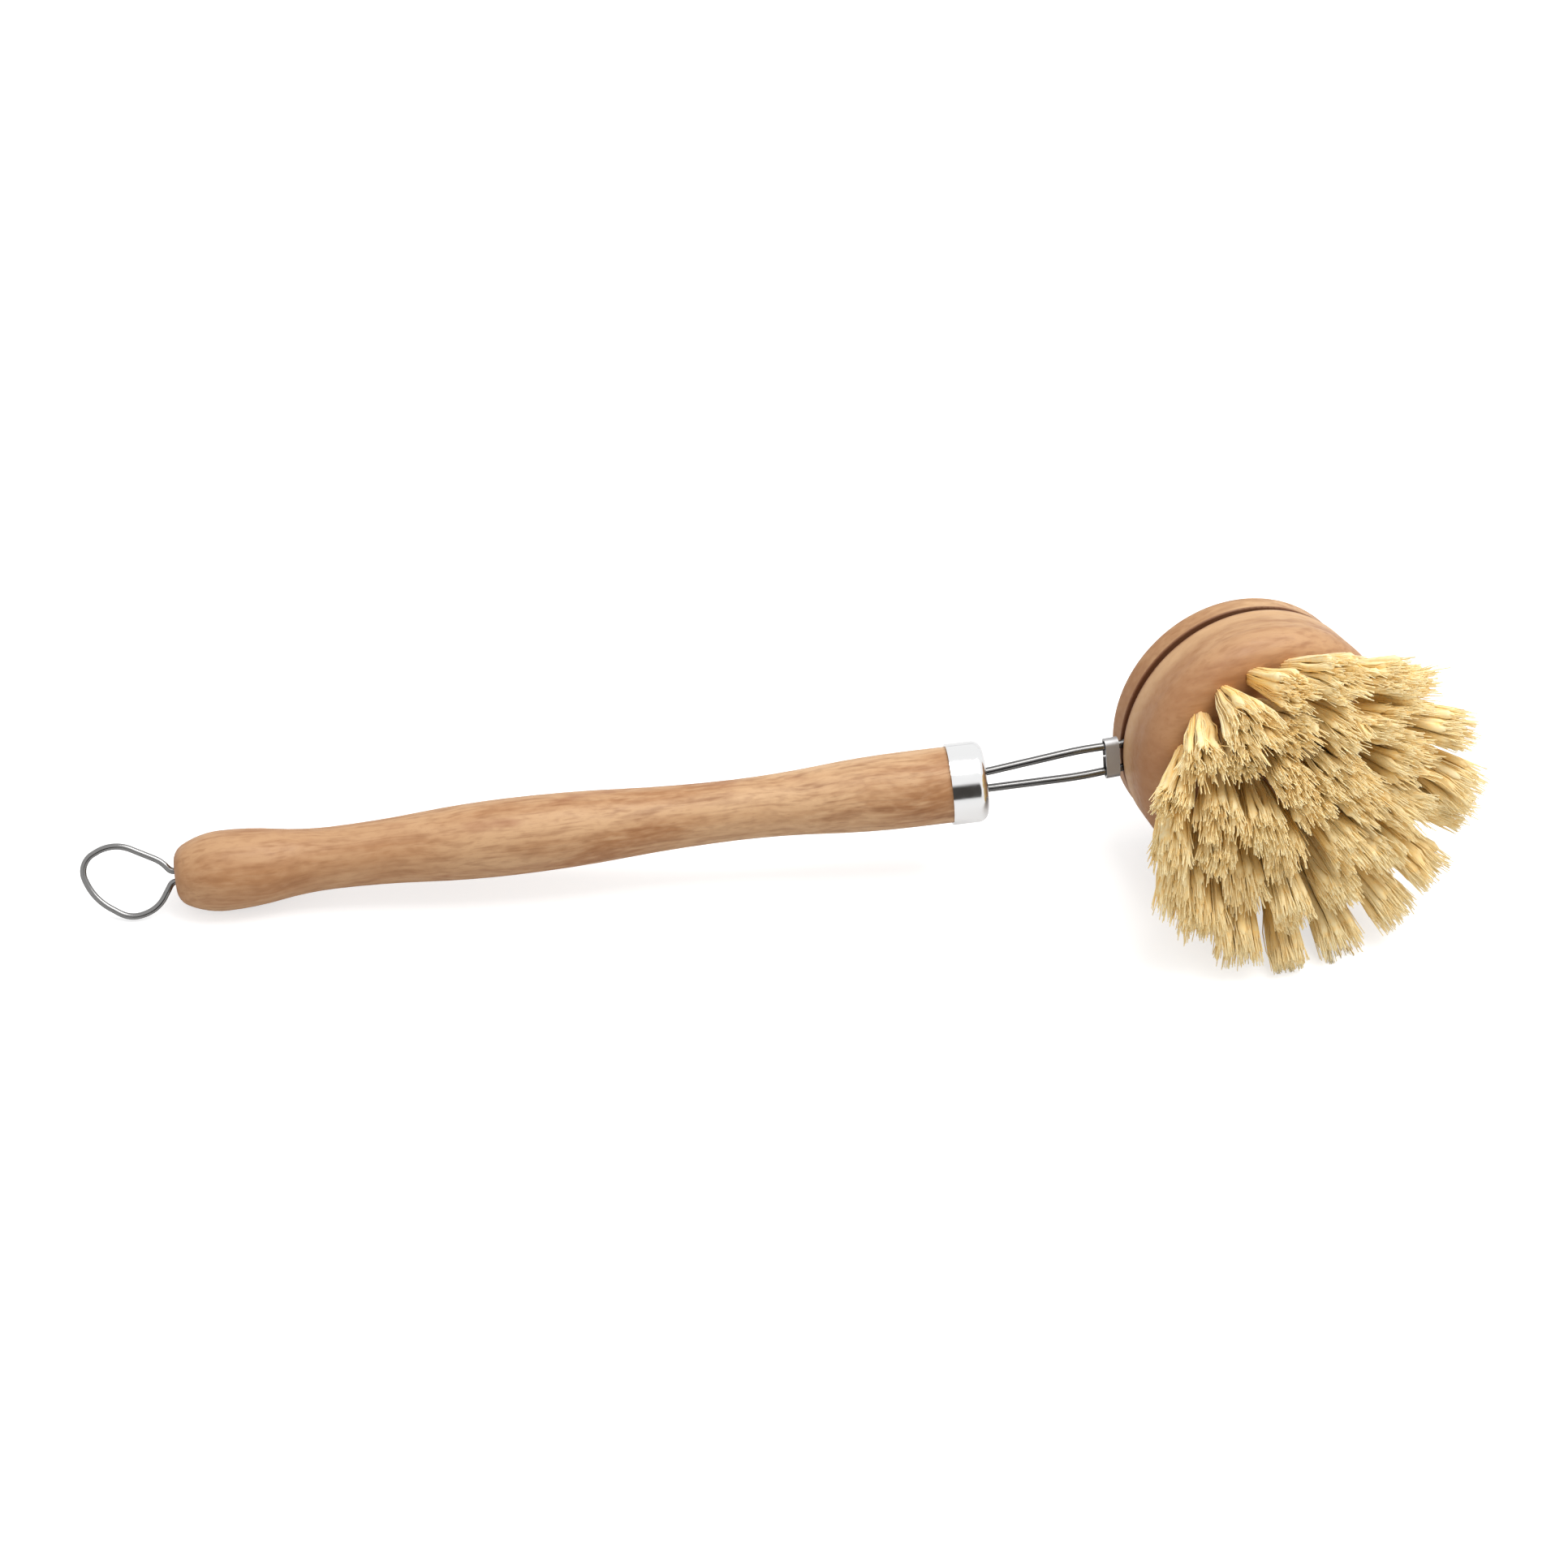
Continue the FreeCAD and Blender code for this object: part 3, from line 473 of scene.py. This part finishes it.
def tube_mesh(name, lines, radius, height, tones, sideways):
    """A mesh of closed tubes round the lines, kept above the floor."""
    turns = 2 * math.pi * np.arange(FIBRE_SIDES) / FIBRE_SIDES
    circle = np.stack([np.cos(turns), np.sin(turns)], axis=1) @ sideways
    points = lines[:, :, None] + radius[:, :, None, None] * circle
    points[..., 2] = np.maximum(points[..., 2], FLOOR_CLEARANCE)

    numbers = np.arange(points[..., 0].size).reshape(points.shape[:3])
    around = np.roll(numbers, -1, axis=2)
    walls = np.stack([numbers[:, :-1], around[:, :-1], around[:, 1:], numbers[:, 1:]], axis=-1)
    ends = numbers[:, -1].tolist() + numbers[:, 0, ::-1].tolist()
    mesh = bpy.data.meshes.new(name)
    mesh.from_pydata(points.reshape(-1, 3).tolist(), [], walls.reshape(-1, 4).tolist() + ends)
    mesh.polygons.foreach_set("use_smooth", [True] * len(mesh.polygons))
    point_values = {"fibre_tone": tones[:, None, None], "fibre_height": height[..., None]}
    for attribute, values in point_values.items():
        layer = mesh.attributes.new(attribute, "FLOAT", "POINT")
        layer.data.foreach_set("value", np.broadcast_to(values, numbers.shape).ravel())
    mesh.materials.append(fibre)
    return mesh


def make_tuft(name, root, direction, dice):
    """One bundle of thin tapered fibres, drawn together in wavy locks with solid hearts."""
    across = direction.orthogonal().normalized()
    sideways = np.array((across, direction.cross(across)))
    lines, radius, height, tones, lock_of = draw_fibres(root, direction, sideways, dice)
    hearts = draw_hearts(lines, height, tones, lock_of)
    strands = [np.concatenate(pair) for pair in zip((lines, radius, height, tones), hearts)]
    tuft = bpy.data.objects.new(name, tube_mesh(name, *strands, sideways))
    bpy.context.scene.collection.objects.link(tuft)
    return tuft


for seed, (tuft_name, tuft_root, tuft_way) in enumerate(tuft_places(), start=FIRST_SEED):
    bundle = make_tuft("fibres_" + tuft_name, tuft_root, tuft_way, np.random.default_rng(seed))
    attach(bundle, "head")
    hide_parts("tuft_" + tuft_name)

# Floor: white to the eye and in the polish, with the brush's own soft shadow on it
FLOOR_HALF = 3.0
FLOOR_GLOW = 0.6
FLOOR_SHINE = 0.05
FLOOR_CORNERS = ((-1, -1), (1, -1), (1, 1), (-1, 1))
floor_mesh = bpy.data.meshes.new("floor")
corners = [(x * FLOOR_HALF, y * FLOOR_HALF, 0) for x, y in FLOOR_CORNERS]
floor_mesh.from_pydata(corners, [], [(0, 1, 2, 3)])
floor = bpy.data.objects.new("floor", floor_mesh)
bpy.context.scene.collection.objects.link(floor)
floor_paint = bpy.data.materials.new("floor_paint")
graph = Graph(floor_paint)
graph.tree.nodes.clear()
diffuse = graph.add("ShaderNodeBsdfDiffuse", {"Color": FLOOR_WHITE}).outputs[0]
ray = graph.add("ShaderNodeLightPath").outputs
to_eye = graph.maths("MULTIPLY", ray["Is Camera Ray"], FLOOR_GLOW)
to_polish = graph.maths("MULTIPLY", ray["Is Glossy Ray"], FLOOR_SHINE)
strength = graph.maths("ADD", to_eye, to_polish)
glow = graph.add("ShaderNodeEmission", {"Color": WHITE, "Strength": strength}).outputs[0]
lit = graph.add("ShaderNodeAddShader", {0: diffuse, 1: glow}).outputs[0]
graph.add("ShaderNodeOutputMaterial", {"Surface": lit})
floor_mesh.materials.append(floor_paint)

# Light: an even pale room and a large soft lamp above. The room has one darker side in front of the
# brush, which shows only in polish. Its edge fades between two cosines of the angle from its middle.
ROOM_LIGHT = 0.73
DARK_SIDE = Vector((0.13, -0.94, 0.31)).normalized()
DARK_SIDE_EDGE = (0.89, 0.965)
world = bpy.data.worlds.new("room")
bpy.context.scene.world = world
graph = Graph(world)
graph.tree.nodes.clear()
look = graph.add("ShaderNodeTexCoord").outputs["Generated"]
toward = graph.vector_maths("DOT_PRODUCT", look, tuple(DARK_SIDE)).outputs["Value"]
walls = graph.mix(graph.step(toward, *DARK_SIDE_EDGE), WHITE, ROOM_GREY)
ray = graph.add("ShaderNodeLightPath").outputs
room = graph.add("ShaderNodeBackground", {"Color": WHITE, "Strength": ROOM_LIGHT}).outputs[0]
mirrored = graph.add("ShaderNodeBackground", {"Color": walls, "Strength": 1.0}).outputs[0]
backdrop = graph.add("ShaderNodeBackground", {"Color": WHITE, "Strength": 1.0}).outputs[0]
sky = graph.add("ShaderNodeMixShader", {0: ray["Is Glossy Ray"], 1: room, 2: mirrored}).outputs[0]
sky = graph.add("ShaderNodeMixShader", {0: ray["Is Camera Ray"], 1: sky, 2: backdrop}).outputs[0]
graph.add("ShaderNodeOutputWorld", {"Surface": sky})


def aim(item, eye, target, roll=0.0):
    """Put a lamp or camera at a place, looking at a target, turned about its own view."""
    back = (eye - target).normalized()
    turned = back.to_track_quat("Z", "Y").to_matrix() @ Matrix.Rotation(roll, 3, "Z")
    item.matrix_world = Matrix.Translation(eye) @ turned.to_4x4()


LAMP_PLACE = Vector((0.36, 0.04, 1.15))
LAMP_TARGET = Vector((0, 0, 0.02))
LAMP_ENERGY = 11.5
LAMP_SIZE = 0.8
lamp_data = bpy.data.lights.new("soft_lamp", "AREA")
lamp_data.energy = LAMP_ENERGY
lamp_data.size = LAMP_SIZE
lamp = bpy.data.objects.new("soft_lamp", lamp_data)
bpy.context.scene.collection.objects.link(lamp)
aim(lamp, LAMP_PLACE, LAMP_TARGET)

# Camera: seen from the front, half from above
CAMERA_PLACE = Vector((-0.12983, -0.68165, 0.71443))
CAMERA_TARGET = Vector((0.00259, 0.01756, 0.01189))
CAMERA_ROLL = math.radians(4.966)
CAMERA_LENS_MM = 121.43
CAMERA_SENSOR_MM = 36.0
camera_data = bpy.data.cameras.new("camera")
camera_data.lens = CAMERA_LENS_MM
camera_data.sensor_width = CAMERA_SENSOR_MM
camera = bpy.data.objects.new("camera", camera_data)
bpy.context.scene.collection.objects.link(camera)
aim(camera, CAMERA_PLACE, CAMERA_TARGET, CAMERA_ROLL)
bpy.context.scene.camera = camera
bpy.context.scene.view_settings.view_transform = "Standard"

bpy.context.view_layer.update()
